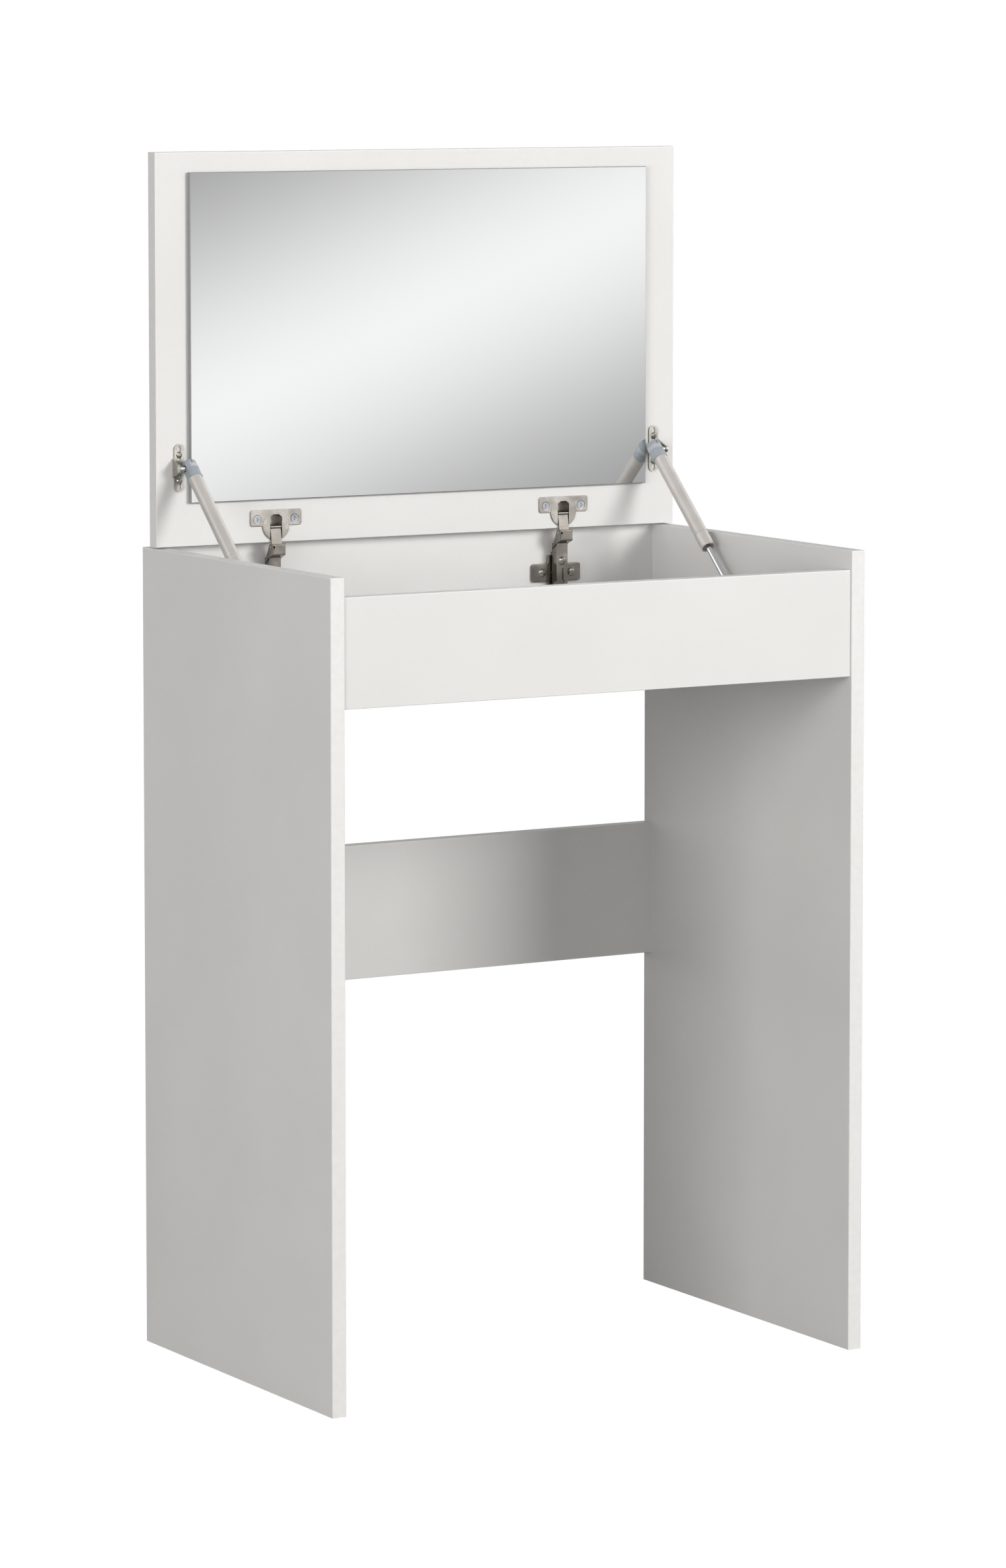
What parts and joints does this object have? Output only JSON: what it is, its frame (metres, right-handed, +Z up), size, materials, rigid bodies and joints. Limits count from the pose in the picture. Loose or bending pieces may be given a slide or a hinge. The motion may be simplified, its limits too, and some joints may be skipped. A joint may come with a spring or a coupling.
{
  "type": "vanity table with mirror",
  "caption": "Vanity table with board sides and a shallow storage box; its lid carries a mirror and opens upright on cup hinges and gas struts.",
  "frame": {"origin": "on the floor, under the middle of the case", "axes": "+X to the right of a person sitting at the table, -Y towards that person, +Z up; the lid is open"},
  "size_m": [0.6, 0.39, 1.1915],
  "materials": {
    "white_laminate": "fine pebbled white melamine",
    "white_edging": "satin white edging",
    "mirror_silver": "silvered float glass",
    "mounting_foam": "white foam pad",
    "hinge_nickel": "nickel plated pressed steel",
    "bracket_nickel": "nickel plated steel sheet",
    "screw_steel": "bright plated steel",
    "pin_steel": "bright steel",
    "socket_plastic": "grey moulded nylon",
    "clip_plastic": "light grey moulded nylon",
    "strut_lacquer": "satin warm grey lacquer",
    "rod_chrome": "hard chromed rod",
    "cam_zinc": "cast zinc",
    "dowel_beech": "bare beech"
  },
  "bodies": {
    "root": {"apron": "white_laminate", "apron_edging": "white_edging", "back_board": "white_laminate", "back_board_edging": "white_edging", "box_bottom": "white_laminate", "cam_bolts": "screw_steel", "cam_locks": "cam_zinc", "dowels": "dowel_beech", "hinge_adjusting_screws": "screw_steel", "hinge_arm_left": "hinge_nickel", "hinge_arm_pin_left": "pin_steel", "hinge_arm_pin_right": "pin_steel", "hinge_arm_right": "hinge_nickel", "hinge_plate_left": "hinge_nickel", "hinge_plate_right": "hinge_nickel", "hinge_plate_screws": "screw_steel", "rear_rail": "white_laminate", "rear_rail_edging": "white_edging", "side_panel_edging_left": "white_edging", "side_panel_edging_right": "white_edging", "side_panel_left": "white_laminate", "side_panel_right": "white_laminate", "strut_foot_plate_left": "bracket_nickel", "strut_foot_plate_right": "bracket_nickel", "strut_foot_screws": "screw_steel"},
    "hinge_link_left": {"hinge_link_left": "hinge_nickel"},
    "hinge_link_right": {"hinge_link_right": "hinge_nickel"},
    "lid": {"lid_panel": "white_laminate", "lid_edging": "white_edging", "mirror_glass": "mirror_silver", "mirror_pads": "mounting_foam", "hinge_cup_screws": "screw_steel", "strut_bracket_screws": "screw_steel", "hinge_cup_left": "hinge_nickel", "hinge_lid_pin_left": "pin_steel", "strut_lid_bracket_left": "bracket_nickel", "strut_upper_stud_left": "pin_steel", "hinge_cup_right": "hinge_nickel", "hinge_lid_pin_right": "pin_steel", "strut_lid_bracket_right": "bracket_nickel", "strut_upper_stud_right": "pin_steel"},
    "strut_cylinder_left": {"strut_cylinder_left": "strut_lacquer", "strut_cylinder_socket_left": "socket_plastic", "strut_cylinder_clip_left": "clip_plastic", "strut_gland_left": "strut_lacquer"},
    "strut_rod_left": {"strut_rod_left": "rod_chrome", "strut_piston_left": "screw_steel", "strut_rod_socket_left": "socket_plastic", "strut_rod_clip_left": "clip_plastic", "strut_foot_stud_left": "pin_steel"},
    "strut_cylinder_right": {"strut_cylinder_right": "strut_lacquer", "strut_cylinder_socket_right": "socket_plastic", "strut_cylinder_clip_right": "clip_plastic", "strut_gland_right": "strut_lacquer"},
    "strut_rod_right": {"strut_rod_right": "rod_chrome", "strut_piston_right": "screw_steel", "strut_rod_socket_right": "socket_plastic", "strut_rod_clip_right": "clip_plastic", "strut_foot_stud_right": "pin_steel"}
  },
  "joints": [
    {"name": "hinge_link_left_turn", "type": "hinge", "parent": "root", "child": "hinge_link_left", "pos_m": [-0.167, 0.161, 0.7972], "axis": [1, 0, 0], "range_deg": [-64.17, 0]},
    {"name": "lid_turn", "type": "hinge", "parent": "hinge_link_left", "child": "lid", "pos_m": [-0.167, 0.16475, 0.8165], "axis": [1, 0, 0], "range_deg": [0, 154.12]},
    {"name": "hinge_link_right_turn", "type": "hinge", "parent": "root", "child": "hinge_link_right", "pos_m": [0.167, 0.161, 0.7972], "axis": [1, 0, 0], "range_deg": [-64.17, 0]},
    {"name": "strut_left_swing", "type": "hinge", "parent": "lid", "child": "strut_cylinder_left", "pos_m": [-0.2695, 0.149, 0.8797], "axis": [1, 0, 0], "range_deg": [-107.46, 0]},
    {"name": "strut_left_stroke", "type": "slide", "parent": "strut_cylinder_left", "child": "strut_rod_left", "axis": [0, -0.7387, -0.6741], "range_m": [-0.07944, 0]},
    {"name": "strut_right_swing", "type": "hinge", "parent": "lid", "child": "strut_cylinder_right", "pos_m": [0.2695, 0.149, 0.8797], "axis": [1, 0, 0], "range_deg": [-107.46, 0]},
    {"name": "strut_right_stroke", "type": "slide", "parent": "strut_cylinder_right", "child": "strut_rod_right", "axis": [0, -0.7387, -0.6741], "range_m": [-0.07944, 0]}
  ],
  "couplings": [
    {"joint": "hinge_link_left_turn", "follows": "lid_turn", "ratio": -0.41603},
    {"joint": "hinge_link_right_turn", "follows": "lid_turn", "ratio": -0.41603},
    {"joint": "strut_left_swing", "follows": "lid_turn", "ratio": -0.69695},
    {"joint": "strut_left_stroke", "follows": "lid_turn", "m_per_rad": -0.029515},
    {"joint": "strut_right_swing", "follows": "lid_turn", "ratio": -0.69695},
    {"joint": "strut_right_stroke", "follows": "lid_turn", "m_per_rad": -0.029515}
  ]
}
